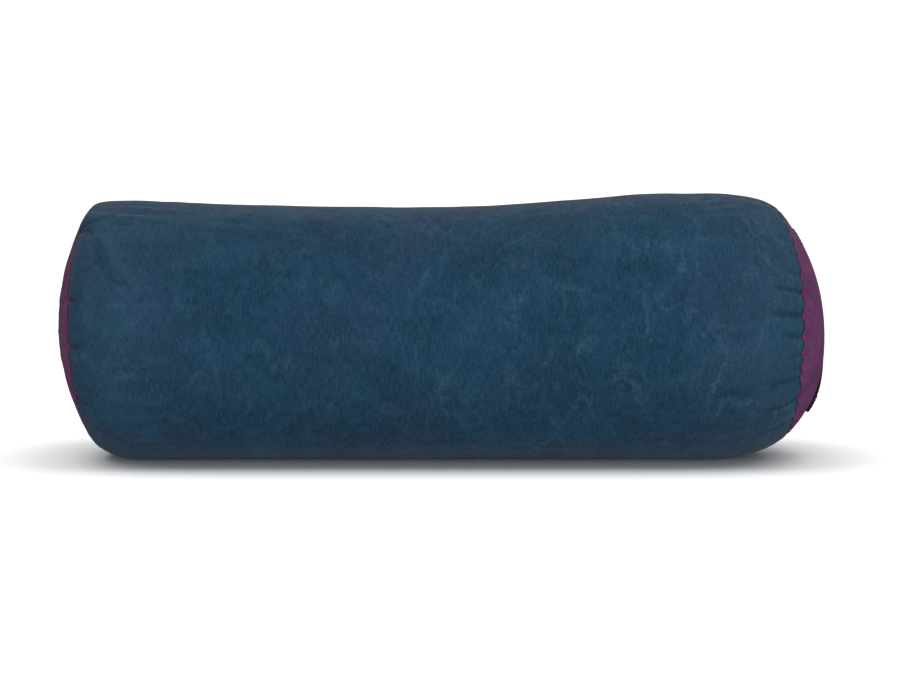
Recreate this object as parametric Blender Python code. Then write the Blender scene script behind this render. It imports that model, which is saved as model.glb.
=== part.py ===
"""Round bolster pillow: a zipped canvas cover with a carrying strap, around a filled inner case.

Metres, +Z up. +X runs along the pillow to the end with the strap, and +Y is the back, where the
zip is. The origin is the middle of the flattened underside, on the floor. Every cloth layer is the
same surface at its own depth, so the layers stay nested when a size changes.
"""

import math

import bmesh
import bpy
from mathutils import Vector

# Overall sizes
BODY_LENGTH = 0.600  # between the two end seams
BODY_RADIUS = 0.113  # outside of the cover
REST_DEPTH = 0.004  # how far the underside is pressed flat
END_CROWN = 0.025  # how far an end panel puffs out past its seam
SHOULDER_LENGTH = 0.040  # stretch over which the body rolls in to its end seam
SHOULDER_DROP = 0.017  # how much smaller the seam is than the body, in radius
END_LIFT = 0.008  # how far the ends rise off the floor

# Cloth and thread
COVER_WALL = 0.0010
LINER_WALL = 0.0008
THREAD = 0.0006
TOUCH_GAP = 0.0003  # between pieces that touch
RUN_GAP = 0.0003  # between pieces that slide past each other
FILLING_EASE = 0.0010  # between the inner case and what fills it

# Zip
ZIP_END_MARGIN = 0.050  # closed seam between the zip and each end
ROW_WIDTH = 0.0020  # one row of the coil
ROW_THICKNESS = 0.0018
TAPE_WIDTH = 0.0120
TAPE_THICKNESS = 0.0006
TAPE_TAIL = 0.008  # tape past the stops
STOP_LENGTH = 0.0025
SLIDER_LENGTH = 0.0090
SLIDER_PLATE = 0.0010
SLIDER_WEB = 0.0006
SLIDER_FLANGE = 0.0009
SLIDER_BEVEL = 0.0002
SLIDER_TO_CLOTH = 0.0010  # between the slider and the folded edges of the cover
STITCH_SETBACK = 0.0025  # topstitching from the folded edge
CROWN_BAR = 0.0008  # the loop on the slider that holds the pull
CROWN_WIDTH = 0.0020
PULL_LENGTH = 0.0240
PULL_LEG = 0.0012
PULL_BAR = 0.0010
PULL_EYE = 0.0050  # length of the hole at the hinge end
PULL_THICKNESS = 0.0012
PULL_ROUND = 0.0018

# Carrying strap
STRAP_LENGTH = 0.150
STRAP_WIDTH = 0.030
STRAP_THICKNESS = 0.0018
STRAP_TURN = 0.014  # end turned under and sewn down
STRAP_SLACK = 0.0022  # how far the lower half stands off the panel
STRAP_STEPS = 20
STITCH_MARGIN = 0.003  # from the strap's edges to the sewn box

# Label and the inner case's closing seam
LABEL_WIDTH = 0.030
LABEL_DROP = 0.035
LABEL_THICKNESS = 0.0005
LABEL_AT = 0.180  # from the middle, along the zip
CLOSING_LENGTH = 0.240
CLOSING_ANGLE = math.radians(37.5)

COVER_SEGMENTS = 48
INNER_SEGMENTS = 40
SHOULDER_STEPS = 4
DOME_STEPS = 6
TAPE_STEPS = 4

# Worked out from the above
HALF = BODY_LENGTH / 2
AXIS_HEIGHT = BODY_RADIUS - REST_DEPTH
SEAM_RADIUS = BODY_RADIUS - SHOULDER_DROP
SEAM_HEIGHT = AXIS_HEIGHT + END_LIFT
PARTING = SLIDER_WEB + 2 * RUN_GAP  # between the two coil rows
FACET_SAG = BODY_RADIUS * (1 - math.cos(math.pi / COVER_SEGMENTS))  # flats inside the true circle
TAPE_DEPTH = COVER_WALL + FACET_SAG + TOUCH_GAP  # tape's outside, below the cover's outside
ZIP_DEPTH = TAPE_DEPTH + TAPE_THICKNESS / 2
ROW_OUTER = PARTING / 2 + ROW_WIDTH
PLATE_NEAR = ROW_THICKNESS / 2 + RUN_GAP
PLATE_FAR = PLATE_NEAR + SLIDER_PLATE
SLIDER_HALF_WIDTH = ROW_OUTER + 2 * RUN_GAP + SLIDER_FLANGE
SLOT_HALF = SLIDER_HALF_WIDTH + SLIDER_TO_CLOTH
ROW_HALF_LENGTH = HALF - ZIP_END_MARGIN
STOP_END = ROW_HALF_LENGTH + TOUCH_GAP + STOP_LENGTH
TAPE_HALF_LENGTH = STOP_END + TAPE_TAIL
LINER_DEPTH = ZIP_DEPTH + PLATE_FAR + TOUCH_GAP
LINER_FLOOR = COVER_WALL + TOUCH_GAP
FILLING_DEPTH = LINER_DEPTH + LINER_WALL + FILLING_EASE
FILLING_FLOOR = LINER_FLOOR + LINER_WALL + FILLING_EASE
CROWN_OPENING = math.hypot(PULL_BAR, PULL_THICKNESS) + 2 * RUN_GAP
HINGE_OUT = PLATE_FAR + CROWN_OPENING / 2  # pull's hinge, from the tape's middle
SLIDER_X = -ROW_HALF_LENGTH + SLIDER_LENGTH / 2 + RUN_GAP  # closed, against the top stops

MATERIALS = {
    "cover_blue": ((0.021, 0.058, 0.102), 0.90),
    "cover_purple": ((0.120, 0.050, 0.112), 0.90),
    "strap_webbing": ((0.034, 0.016, 0.030), 0.85),
    "thread_dark": ((0.012, 0.012, 0.028), 0.75),
    "zip_tape": ((0.014, 0.020, 0.040), 0.80),
    "zip_coil": ((0.010, 0.013, 0.026), 0.40),
    "zip_metal": ((0.300, 0.290, 0.280), 0.35),
    "label_satin": ((0.780, 0.770, 0.740), 0.50),
    "liner_cotton": ((0.700, 0.660, 0.580), 0.92),
    "liner_thread": ((0.620, 0.580, 0.500), 0.80),
    "filling_fibre": ((0.820, 0.790, 0.710), 0.98),
}


def clear_scene():
    for ob in list(bpy.data.objects):
        bpy.data.objects.remove(ob, do_unlink=True)


def make_material(name):
    colour, roughness = MATERIALS[name]
    material = bpy.data.materials.new(name)
    material.use_nodes = True
    shader = material.node_tree.nodes["Principled BSDF"]
    shader.inputs["Base Color"].default_value = (*colour, 1.0)
    shader.inputs["Roughness"].default_value = roughness
    shader.inputs["Metallic"].default_value = 1.0 if name == "zip_metal" else 0.0
    return material


def finish(name, bm, material, place=None, round_piece=False):
    """Turns the bmesh into the named object, with its faces pointing out."""
    bmesh.ops.recalc_face_normals(bm, faces=bm.faces)
    mesh = bpy.data.meshes.new(name)
    bm.to_mesh(mesh)
    bm.free()
    if round_piece:
        mesh.shade_smooth()
        mesh.set_sharp_from_angle(angle=math.radians(40))
    ob = bpy.data.objects.new(name, mesh)
    ob.data.materials.append(material)
    ob.location = place or (0, 0, 0)
    bpy.context.scene.collection.objects.link(ob)
    return ob


# The shared surface


def shoulder(x):
    """0 along the straight body, rising to 1 at an end seam."""
    return max(0.0, (abs(x) - (HALF - SHOULDER_LENGTH)) / SHOULDER_LENGTH)


def body_point(x, angle, depth, floor):
    """A point of the body, depth below the cover's outside. Angle 0 is the back and pi/2 the top."""
    t = shoulder(x) ** 2
    radius = BODY_RADIUS - SHOULDER_DROP * t - depth
    height = AXIS_HEIGHT + END_LIFT * t + radius * math.sin(angle)
    return Vector((x, radius * math.cos(angle), max(height, floor)))


def dome_point(side, turn, angle, depth):
    """A point of an end panel's dome. Turn 0 is its middle and pi/2 its seam."""
    radius = (SEAM_RADIUS - depth) * math.sin(turn)
    x = side * (HALF + (END_CROWN - depth) * math.cos(turn))
    return Vector((x, radius * math.cos(angle), SEAM_HEIGHT + radius * math.sin(angle)))


def angles(segments):
    return [math.tau * i / segments for i in range(segments)]


def body_stations(end):
    """Places along X where the body has a ring, out to both ends."""
    start = HALF - SHOULDER_LENGTH
    half = [start + (end - start) * i / SHOULDER_STEPS for i in range(SHOULDER_STEPS + 1)]
    return [-x for x in reversed(half)] + half


def body_rings(segments, depth, floor, end):
    return [[body_point(x, a, depth, floor) for a in angles(segments)] for x in body_stations(end)]


def dome_rings(side, segments, depth, seam_gap):
    """Rings from the seam to the middle, which is a single point."""
    turns = [math.pi / 2 * (1 - i / DOME_STEPS) for i in range(DOME_STEPS)]
    rings = [[dome_point(side, t, a, depth) for a in angles(segments)] for t in turns]
    for point in rings[0]:
        point.x += side * seam_gap
    return [*rings, [dome_point(side, 0, 0, depth)]]


def loft(rings, closed):
    """Joins rings of points in order. A ring of one point is a pole."""
    bm = bmesh.new()
    made = [[bm.verts.new(p) for p in ring] for ring in rings]
    pairs = list(zip(made, made[1:]))
    if closed:
        pairs.append((made[-1], made[0]))
    for a, b in pairs:
        count = max(len(a), len(b))
        if count == 1:
            continue
        for i in range(count):
            j = (i + 1) % count
            corners = [a[i % len(a)], a[j % len(a)], b[j % len(b)], b[i % len(b)]]
            bm.faces.new(list(dict.fromkeys(corners)))
    return bm


def plate(outer, inner):
    """A closed sheet between two equal grids of points."""
    bm = bmesh.new()
    a = [[bm.verts.new(p) for p in row] for row in outer]
    b = [[bm.verts.new(p) for p in row] for row in inner]
    rows, columns = len(a), len(a[0])
    for i in range(rows - 1):
        for j in range(columns - 1):
            bm.faces.new((a[i][j], a[i + 1][j], a[i + 1][j + 1], a[i][j + 1]))
            bm.faces.new((b[i][j], b[i][j + 1], b[i + 1][j + 1], b[i + 1][j]))
    for i in range(rows - 1):
        for j in (0, columns - 1):
            bm.faces.new((a[i][j], b[i][j], b[i + 1][j], a[i + 1][j]))
    for j in range(columns - 1):
        for i in (0, rows - 1):
            bm.faces.new((a[i][j], a[i][j + 1], b[i][j + 1], b[i][j]))
    return bm


def prism(loops, direction):
    """Fills flat loops, the first of them outside and the rest holes, and extrudes the face."""
    bm = bmesh.new()
    edges = []
    for loop in loops:
        verts = [bm.verts.new(p) for p in loop]
        edges += [bm.edges.new((verts[i - 1], verts[i])) for i in range(len(verts))]
    filled = bmesh.ops.triangle_fill(bm, use_beauty=True, use_dissolve=False, edges=edges)
    faces = [g for g in filled["geom"] if isinstance(g, bmesh.types.BMFace)]
    grown = bmesh.ops.extrude_face_region(bm, geom=faces)
    moved = [g for g in grown["geom"] if isinstance(g, bmesh.types.BMVert)]
    bmesh.ops.translate(bm, verts=moved, vec=direction)
    return bm


def box(low, high):
    bm = bmesh.new()
    bmesh.ops.create_cube(bm, size=1.0)
    low, high = Vector(low), Vector(high)
    size = high - low
    for v in bm.verts:
        v.co = (low + high) / 2 + Vector((v.co.x * size.x, v.co.y * size.y, v.co.z * size.z))
    return bm


def cutter(name, bm):
    ob = finish(name, bm, None)
    ob.data.materials.clear()
    ob.hide_render = True
    ob.display_type = "WIRE"
    return ob


def boolean(ob, other, operation):
    modifier = ob.modifiers.new(operation.lower(), "BOOLEAN")
    modifier.operation = operation
    modifier.solver = "EXACT"
    modifier.object = other


# Cover


def cover_body(materials):
    end = HALF - TOUCH_GAP / 2
    outside = body_rings(COVER_SEGMENTS, 0.0, 0.0, end)
    inside = body_rings(COVER_SEGMENTS, COVER_WALL, COVER_WALL, end)
    bm = loft([*outside, *reversed(inside)], closed=True)
    body = finish("cover_body_panel", bm, materials["cover_blue"], round_piece=True)
    near = BODY_RADIUS - 10 * COVER_WALL
    far = BODY_RADIUS + 10 * COVER_WALL
    low = (-STOP_END - TOUCH_GAP, near, AXIS_HEIGHT - SLOT_HALF)
    high = (STOP_END + TOUCH_GAP, far, AXIS_HEIGHT + SLOT_HALF)
    boolean(body, cutter("zip_slot_cutter", box(low, high)), "DIFFERENCE")


def case_end(name, side, segments, depth, wall, material):
    outside = dome_rings(side, segments, depth, TOUCH_GAP / 2)
    inside = dome_rings(side, segments, depth + wall, TOUCH_GAP / 2)
    bm = loft([*outside, *reversed(inside)], closed=True)
    finish(name, bm, material, round_piece=True)


def seam_thread(name, side, segments, depth, material):
    """A ring of thread just under the cloth, where the body meets an end panel."""
    middle = SEAM_RADIUS - depth - TOUCH_GAP - THREAD / 2
    rings = []
    for a in angles(segments):
        ring = []
        for dx, dr in ((-1, 0), (0, 1), (1, 0), (0, -1)):
            radius = middle + dr * THREAD / 2
            x = side * HALF + dx * THREAD / 2
            ring.append((x, radius * math.cos(a), SEAM_HEIGHT + radius * math.sin(a)))
        rings.append(ring)
    finish(name, loft(rings, closed=True), material, round_piece=True)


# Carrying strap


def panel_section(z, out):
    """A point on the strap end's panel, at height z from its middle, out along the surface normal."""
    turn = math.asin(z / SEAM_RADIUS)
    x = END_CROWN * math.cos(turn)
    normal = Vector((x / END_CROWN**2, z / SEAM_RADIUS**2)).normalized()
    return HALF + x + normal.x * out, SEAM_HEIGHT + z + normal.y * out


def strap_heights():
    half = STRAP_LENGTH / 2
    return [half - STRAP_LENGTH * i / STRAP_STEPS for i in range(STRAP_STEPS + 1)]


def strap_lift(z):
    """How far the strap's inner face is off the panel: flush above, slack below."""
    low_end = STRAP_LENGTH / 2 - STRAP_TURN
    slack = STRAP_SLACK * min(1.0, max(0.0, -z / low_end)) ** 1.5
    return TOUCH_GAP + slack


def strap_outer(z):
    """The outer face: one layer, or two where the ends are turned under."""
    sewn = abs(z) > STRAP_LENGTH / 2 - STRAP_TURN
    return strap_lift(z) + STRAP_THICKNESS * (2 if sewn else 1)


def strap_inner(z):
    sewn = abs(z) > STRAP_LENGTH / 2 - STRAP_TURN
    return TOUCH_GAP if sewn else strap_lift(z)


def strap_row(z, out):
    x, height = panel_section(z, out)
    return [(x, -STRAP_WIDTH / 2, height), (x, STRAP_WIDTH / 2, height)]


def strap(materials):
    outer = [strap_row(z, strap_outer(z)) for z in strap_heights()]
    inner = [strap_row(z, strap_inner(z)) for z in strap_heights()]
    finish("handle_strap", plate(outer, inner), materials["strap_webbing"])
    for name, side in (("upper", 1), ("lower", -1)):
        strap_stitching(f"handle_stitching_{name}", side, materials["thread_dark"])


def strap_stitching(name, side, material):
    """A sewn box with a cross in it, lying flat over the sewn end of the strap and clear of it."""
    far = side * (STRAP_LENGTH / 2 - STITCH_MARGIN)
    near = side * (STRAP_LENGTH / 2 - STRAP_TURN + STITCH_MARGIN / 2)
    first, last = (Vector(panel_section(z, strap_outer(z))) for z in (near, far))
    along = last - first
    length = along.length
    normal = Vector((along.y, -along.x)).normalized()
    if normal.x < 0:
        normal.negate()
    surface = [Vector(panel_section(z, strap_outer(z))) for z in strap_heights() if side * z > 0]
    lift = max((point - first).dot(normal) for point in surface) + TOUCH_GAP
    half_width = STRAP_WIDTH / 2 - STITCH_MARGIN

    def place(u, v):
        spot = first + along * (u / length) + normal * lift
        return Vector((spot.x, v, spot.y))

    def triangle(tip_u, tip_v, a, b):
        """A hole between two arms of the cross and a side of the box, set in by the thread."""
        middle = Vector(((tip_u + a[0] + b[0]) / 3, (tip_v + a[1] + b[1]) / 3))
        corners = [Vector((tip_u, tip_v)), Vector(a), Vector(b)]
        return [place(*(middle + (c - middle) * hole_share)) for c in corners]

    hole_share = 1 - 3 * THREAD / min(length, 2 * half_width)
    box_corners = [(0, -half_width), (length, -half_width), (length, half_width), (0, half_width)]
    centre = (length / 2, 0)
    outside = [place(*c) for c in box_corners]
    holes = [triangle(*centre, box_corners[i - 1], box_corners[i]) for i in range(4)]
    finish(name, prism([outside, *holes], Vector((normal.x, 0, normal.y)) * THREAD), material)


# Zip. Its pieces share an empty on the middle of the chain, so they are drawn around its origin.


def arc_plate(x_stations, angle_steps, depth, thickness):
    def grid(at):
        return [[body_point(x, a, at, 0.0) for a in angle_steps] for x in x_stations]

    return plate(grid(depth), grid(depth + thickness))


def zip_stations(half_length):
    straight = HALF - SHOULDER_LENGTH
    if half_length <= straight:
        return [-half_length, half_length]
    return [-half_length, -straight, straight, half_length]


def zip_side(name, side, materials, line):
    """Tape, coil row, top stop and topstitching on one side of the parting."""
    radius = BODY_RADIUS - ZIP_DEPTH
    first = (ROW_OUTER + TOUCH_GAP) / radius
    last = first + TAPE_WIDTH / radius
    steps = [side * (first + (last - first) * i / TAPE_STEPS) for i in range(TAPE_STEPS + 1)]
    bm = arc_plate(zip_stations(TAPE_HALF_LENGTH), steps, TAPE_DEPTH, TAPE_THICKNESS)
    finish(f"zip_tape_{name}", bm, materials["zip_tape"], round_piece=True)

    near, far = sorted((side * PARTING / 2, side * ROW_OUTER))
    half_thick = ROW_THICKNESS / 2
    bm = box((-ROW_HALF_LENGTH, -half_thick, near), (ROW_HALF_LENGTH, half_thick, far))
    row = finish(f"zip_teeth_{name}", bm, materials["zip_coil"])
    low = (-STOP_END, -half_thick - RUN_GAP, near)
    high = (-STOP_END + STOP_LENGTH, half_thick + RUN_GAP, far)
    stop = finish(f"zip_top_stop_{name}", box(low, high), materials["zip_metal"])

    edge = SLOT_HALF + STITCH_SETBACK
    surface = math.sqrt(BODY_RADIUS**2 - edge**2) - (BODY_RADIUS - ZIP_DEPTH)
    near, far = sorted((side * edge, side * (edge + THREAD)))
    low = (-STOP_END, surface + TOUCH_GAP, near)
    high = (STOP_END, surface + TOUCH_GAP + THREAD, far)
    stitching = finish(f"zip_topstitching_{name}", box(low, high), materials["thread_dark"])
    for ob in (row, stop, stitching):
        ob.parent = line


def zip_slider(material, line):
    """Two plates joined by a web in the parting, with flanges that leave the tapes free."""
    lip = TAPE_THICKNESS / 2 + RUN_GAP
    flange_in = SLIDER_HALF_WIDTH - SLIDER_FLANGE
    web = SLIDER_WEB / 2
    quarter = [
        (web, PLATE_NEAR),
        (flange_in, PLATE_NEAR),
        (flange_in, lip),
        (SLIDER_HALF_WIDTH, lip),
        (SLIDER_HALF_WIDTH, PLATE_FAR),
    ]
    outline = list(quarter)
    outline += [(-z, y) for z, y in reversed(quarter)]
    outline += [(-z, -y) for z, y in quarter]
    outline += [(z, -y) for z, y in reversed(quarter)]
    half = SLIDER_LENGTH / 2
    bm = prism([[(-half, y, z) for z, y in outline]], Vector((SLIDER_LENGTH, 0, 0)))
    slider = finish("zip_slider", bm, material, place=(SLIDER_X, 0, 0))

    inner = CROWN_OPENING / 2
    outer = inner + CROWN_BAR
    foot = PLATE_FAR - SLIDER_PLATE / 2
    arch = [
        (-outer, foot),
        (-outer, HINGE_OUT + outer),
        (outer, HINGE_OUT + outer),
        (outer, foot),
        (inner, foot),
        (inner, HINGE_OUT + inner),
        (-inner, HINGE_OUT + inner),
        (-inner, foot),
    ]
    side = CROWN_WIDTH / 2
    bm = prism([[(x, y, -side) for x, y in arch]], Vector((0, 0, CROWN_WIDTH)))
    crown = cutter("slider_crown", bm)
    crown.location = (SLIDER_X, 0, 0)
    boolean(slider, crown, "UNION")
    bevel = slider.modifiers.new("bevel", "BEVEL")
    bevel.width = SLIDER_BEVEL
    bevel.segments = 1
    bevel.limit_method = "ANGLE"
    crown.parent = line
    slider.parent = line
    return slider


def zip_pull(material, slider):
    """A tab whose eye goes round the slider's crown. Its origin is on the bar, the hinge's axis."""
    half_eye = CROWN_WIDTH / 2 + RUN_GAP
    half_width = half_eye + PULL_LEG
    start = -PULL_BAR / 2
    tip = start + PULL_LENGTH
    outline = [(start, -half_width), (start, half_width)]
    for corner, turn in ((1, math.pi / 2), (-1, 0)):
        for i in range(4):
            a = turn - math.pi / 2 * i / 3
            z = corner * (half_width - PULL_ROUND) + PULL_ROUND * math.sin(a)
            outline.append((tip - PULL_ROUND + PULL_ROUND * math.cos(a), z))
    eye_start = PULL_BAR / 2
    eye_end = eye_start + PULL_EYE
    eye = [(eye_start, -half_eye), (eye_end, -half_eye), (eye_end, half_eye), (eye_start, half_eye)]
    under = -PULL_THICKNESS / 2
    loops = [[(x, under, z) for x, z in loop] for loop in (outline, eye)]
    bm = prism(loops, Vector((0, PULL_THICKNESS, 0)))
    pull = finish("zip_pull", bm, material, place=(0, HINGE_OUT, 0))
    pull.parent = slider


def zip_assembly(materials):
    line = bpy.data.objects.new("zip_line", None)
    bpy.context.scene.collection.objects.link(line)
    line.location = (0, BODY_RADIUS - ZIP_DEPTH, AXIS_HEIGHT)
    zip_side("upper", 1, materials, line)
    zip_side("lower", -1, materials, line)
    low = (STOP_END - STOP_LENGTH, -ROW_THICKNESS / 2 - RUN_GAP, -ROW_OUTER)
    high = (STOP_END, ROW_THICKNESS / 2 + RUN_GAP, ROW_OUTER)
    stop = finish("zip_bottom_stop", box(low, high), materials["zip_metal"])
    stop.parent = line
    slider = zip_slider(materials["zip_metal"], line)
    zip_pull(materials["zip_metal"], slider)


def care_label(material):
    """A blank tab that hangs inside the cover from the lower tape."""
    depth = TAPE_DEPTH + TAPE_THICKNESS + TOUCH_GAP
    radius = BODY_RADIUS - depth
    first = (SLIDER_HALF_WIDTH + SLIDER_TO_CLOTH) / radius
    last = first + LABEL_DROP / radius
    steps = [-(first + (last - first) * i / TAPE_STEPS) for i in range(TAPE_STEPS + 1)]
    stations = [LABEL_AT - LABEL_WIDTH / 2, LABEL_AT + LABEL_WIDTH / 2]
    bm = arc_plate(stations, steps, depth, LABEL_THICKNESS)
    finish("care_label", bm, material, round_piece=True)


# Inner case and filling


def liner_body(material):
    end = HALF - TOUCH_GAP / 2
    outside = body_rings(INNER_SEGMENTS, LINER_DEPTH, LINER_FLOOR, end)
    depth = LINER_DEPTH + LINER_WALL
    inside = body_rings(INNER_SEGMENTS, depth, LINER_FLOOR + LINER_WALL, end)
    bm = loft([*outside, *reversed(inside)], closed=True)
    finish("liner_body_panel", bm, material, round_piece=True)


def liner_closing(material):
    """The seam sewn shut after filling, a line of thread on the inner case."""
    depth = LINER_DEPTH - TOUCH_GAP - THREAD
    half_angle = THREAD / 2 / (BODY_RADIUS - depth)
    steps = [CLOSING_ANGLE - half_angle, CLOSING_ANGLE + half_angle]
    bm = arc_plate([-CLOSING_LENGTH / 2, CLOSING_LENGTH / 2], steps, depth, THREAD)
    finish("liner_closing_thread", bm, material)


def filling(material):
    left = dome_rings(-1, INNER_SEGMENTS, FILLING_DEPTH, 0.0)
    right = dome_rings(1, INNER_SEGMENTS, FILLING_DEPTH, 0.0)
    body = body_rings(INNER_SEGMENTS, FILLING_DEPTH, FILLING_FLOOR, HALF)
    rings = [*reversed(left), *body[1:-1], *right]
    finish("filling", loft(rings, closed=False), material, round_piece=True)


def main():
    clear_scene()
    materials = {name: make_material(name) for name in MATERIALS}
    cover_body(materials)
    strap(materials)
    zip_assembly(materials)
    care_label(materials["label_satin"])
    liner_body(materials["liner_cotton"])
    for name, side in (("left", -1), ("right", 1)):
        purple = materials["cover_purple"]
        case_end(f"cover_end_panel_{name}", side, COVER_SEGMENTS, 0.0, COVER_WALL, purple)
        thread = materials["thread_dark"]
        seam_thread(f"end_seam_thread_{name}", side, COVER_SEGMENTS, COVER_WALL, thread)
        cotton = materials["liner_cotton"]
        case_end(f"liner_end_panel_{name}", side, INNER_SEGMENTS, LINER_DEPTH, LINER_WALL, cotton)
        thread = materials["liner_thread"]
        depth = LINER_DEPTH - THREAD - 2 * TOUCH_GAP
        seam_thread(f"liner_seam_thread_{name}", side, INNER_SEGMENTS, depth, thread)
    liner_closing(materials["liner_thread"])
    filling(materials["filling_fibre"])


main()
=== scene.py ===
"""Looks of the bolster pillow: washed-canvas cover, carrying strap, zip, inner case and filling.

The frame gives every size. +X is the strap's end, -Y the front, +Y the back with the zip, +Z up.
Angles round the body start at the back and rise over the top, so a quarter turn is the top.
"""

import math
import random
from dataclasses import dataclass

import bpy
import numpy as np
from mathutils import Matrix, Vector, noise


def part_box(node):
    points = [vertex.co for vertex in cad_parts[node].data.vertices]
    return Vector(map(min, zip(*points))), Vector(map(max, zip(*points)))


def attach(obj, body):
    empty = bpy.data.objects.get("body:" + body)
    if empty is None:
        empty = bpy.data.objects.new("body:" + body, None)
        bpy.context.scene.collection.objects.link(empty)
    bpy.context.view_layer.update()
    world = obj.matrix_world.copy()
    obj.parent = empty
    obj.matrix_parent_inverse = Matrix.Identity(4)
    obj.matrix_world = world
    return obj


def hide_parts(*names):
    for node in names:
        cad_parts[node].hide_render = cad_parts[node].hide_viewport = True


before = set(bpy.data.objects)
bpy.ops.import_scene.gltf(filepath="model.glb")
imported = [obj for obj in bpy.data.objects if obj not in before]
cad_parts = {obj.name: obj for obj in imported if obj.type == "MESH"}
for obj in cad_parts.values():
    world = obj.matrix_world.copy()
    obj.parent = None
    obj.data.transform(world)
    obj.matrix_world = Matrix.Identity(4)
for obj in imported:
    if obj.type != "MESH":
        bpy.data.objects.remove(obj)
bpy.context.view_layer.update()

MM = 0.001
TAU = math.tau
BACKWARDS = (0, 1, 0)

# Sizes read from the frame
ROW_LOW, ROW_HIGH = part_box("zip_teeth_upper")
STRAP_LOW, STRAP_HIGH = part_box("handle_strap")
LABEL_LOW, LABEL_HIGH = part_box("care_label")
CLOSING_LOW, CLOSING_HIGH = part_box("liner_closing_thread")
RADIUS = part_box("cover_body_panel")[1].y
AXIS = (ROW_LOW.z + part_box("zip_teeth_lower")[1].z) / 2
CHAIN_Y = (ROW_LOW.y + ROW_HIGH.y) / 2
SLOT_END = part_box("zip_topstitching_upper")[1].x + 0.3 * MM
SLOT_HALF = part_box("zip_slider")[1].z - AXIS + 1.0 * MM

# The body's outline, as height over the floor along X. The middle has sagged from use.
TOP_LINE = (
    (-0.304, 0.2025), (-0.299, 0.2110), (-0.292, 0.2165), (-0.282, 0.2180),
    (-0.270, 0.2185), (-0.235, 0.2170), (-0.140, 0.2135), (-0.040, 0.2125),
    (0.030, 0.2130), (0.110, 0.2185), (0.190, 0.2245), (0.240, 0.2240),
    (0.268, 0.2205), (0.284, 0.2130), (0.296, 0.2030),
)
BOTTOM_LINE = (
    (-0.304, 0.0200), (-0.294, 0.0100), (-0.280, 0.0015), (-0.262, -0.0036),
    (0.225, -0.0036), (0.250, -0.0005), (0.272, 0.0045), (0.286, 0.0115),
    (0.296, 0.0195),
)
FLOOR_SOFTNESS = 0.6 * MM
AXIS_RISE_ZONE = 70 * MM


@dataclass(frozen=True)
class End:
    """One end of the bolster: its seam, and the dome of its panel."""

    name: str
    side: int
    seam_x: float
    lean: tuple  # how far the seam runs in at the top and at the bottom
    crown: float
    apex_drop: float
    fullness: float
    sag_fullness: float
    shoulder: float
    narrowing: float
    gathers: int
    deep_gathers: tuple  # degrees above the front
    shallow: tuple  # the least and the most depth of the other gathers
    body_ease: float
    panel_ease: float
    scallop: float
    notch: float
    gather_reach: float

    def inward(self, x):
        """How far inboard of the seam x lies."""
        return self.side * (self.seam_x - x)


LEFT = End(
    name="left",
    side=-1,
    seam_x=-0.304,
    lean=(0.006, 0.012),
    crown=0.021,
    apex_drop=0.000,
    fullness=1.8,
    sag_fullness=0.0,
    shoulder=0.034,
    narrowing=0.018,
    gathers=29,
    deep_gathers=(58, 18, -6, -32),
    shallow=(0.05, 0.35),
    body_ease=0.035,
    panel_ease=0.04,
    scallop=0.25 * MM,
    notch=2.6 * MM,
    gather_reach=10 * MM,
)
RIGHT = End(
    name="right",
    side=1,
    seam_x=0.296,
    lean=(0.012, 0.004),
    crown=0.029,
    apex_drop=0.018,
    fullness=2.5,
    sag_fullness=-0.15,
    shoulder=0.046,
    narrowing=0.016,
    gathers=40,
    deep_gathers=(22, 10, -2, -9, -16, -23, -36, -50),
    shallow=(0.15, 0.60),
    body_ease=0.10,
    panel_ease=0.05,
    scallop=0.7 * MM,
    notch=2.8 * MM,
    gather_reach=12 * MM,
)

# The grid of the cover
COLUMNS = 264
FINE_STEP = 3.6 * MM
FINE_ZONE = 72 * MM
COARSE_STEP = 7 * MM
DOME_SHARES = np.linspace(1, 0, 25)[:-1]

# Cloth simulation of the gathered ends
SIM_REACH = 110 * MM
DOME_GATHER_REACH = 12 * MM
GATHER_START = 1.2 * MM
BLEND_ROUND = 16 * MM
CLOTH_FRAMES = 22
CLOTH_SETTINGS = {
    "quality": 5,
    "mass": 0.15,
    "tension_stiffness": 40,
    "compression_stiffness": 40,
    "shear_stiffness": 12,
    "bending_stiffness": 0.6,
    "tension_damping": 8,
    "compression_damping": 8,
    "air_damping": 4,
    "use_pressure": True,
    "uniform_pressure_force": 3.0,
    "vertex_group_mass": "held",
    "pin_stiffness": 2,
}
MOST_SHIFT = 7 * MM
TUCK_LENGTH = 30 * MM
TUCK_WIDTH = 2.6 * MM
TUCK_DEPTH = 1.1 * MM
FLOOR_MARGIN = 6 * MM

# Seams
SEAM_DEPTH = 1.3 * MM
SEAM_ROLL = 1.5 * MM
SEAM_ALLOWANCE = 3.0 * MM

# The strap. Its rise is how far its outer layer's underside stands off the smooth panel, in
# millimetres, from its lower end to its upper end. Pulled tight, it sinks into the cushion.
STRAP_THICKNESS = 1.8 * MM
STRAP_TURN = 14 * MM
STRAP_LAYERS = STRAP_THICKNESS + 0.2 * MM
STRAP_RISE = (
    (0.000, 1.6), (0.012, 1.3), (0.030, -0.1), (0.048, -1.2),
    (0.075, -2.0), (0.139, -2.0), (0.153, -1.7),
)
DENT_EDGE = 6 * MM

# What is inside the cover
CASE_DEPTH = 6.5 * MM
FILLING_DEPTH = 9.5 * MM
STUFFED = 0.95
LOOSELY_STUFFED = 0.9

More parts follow.
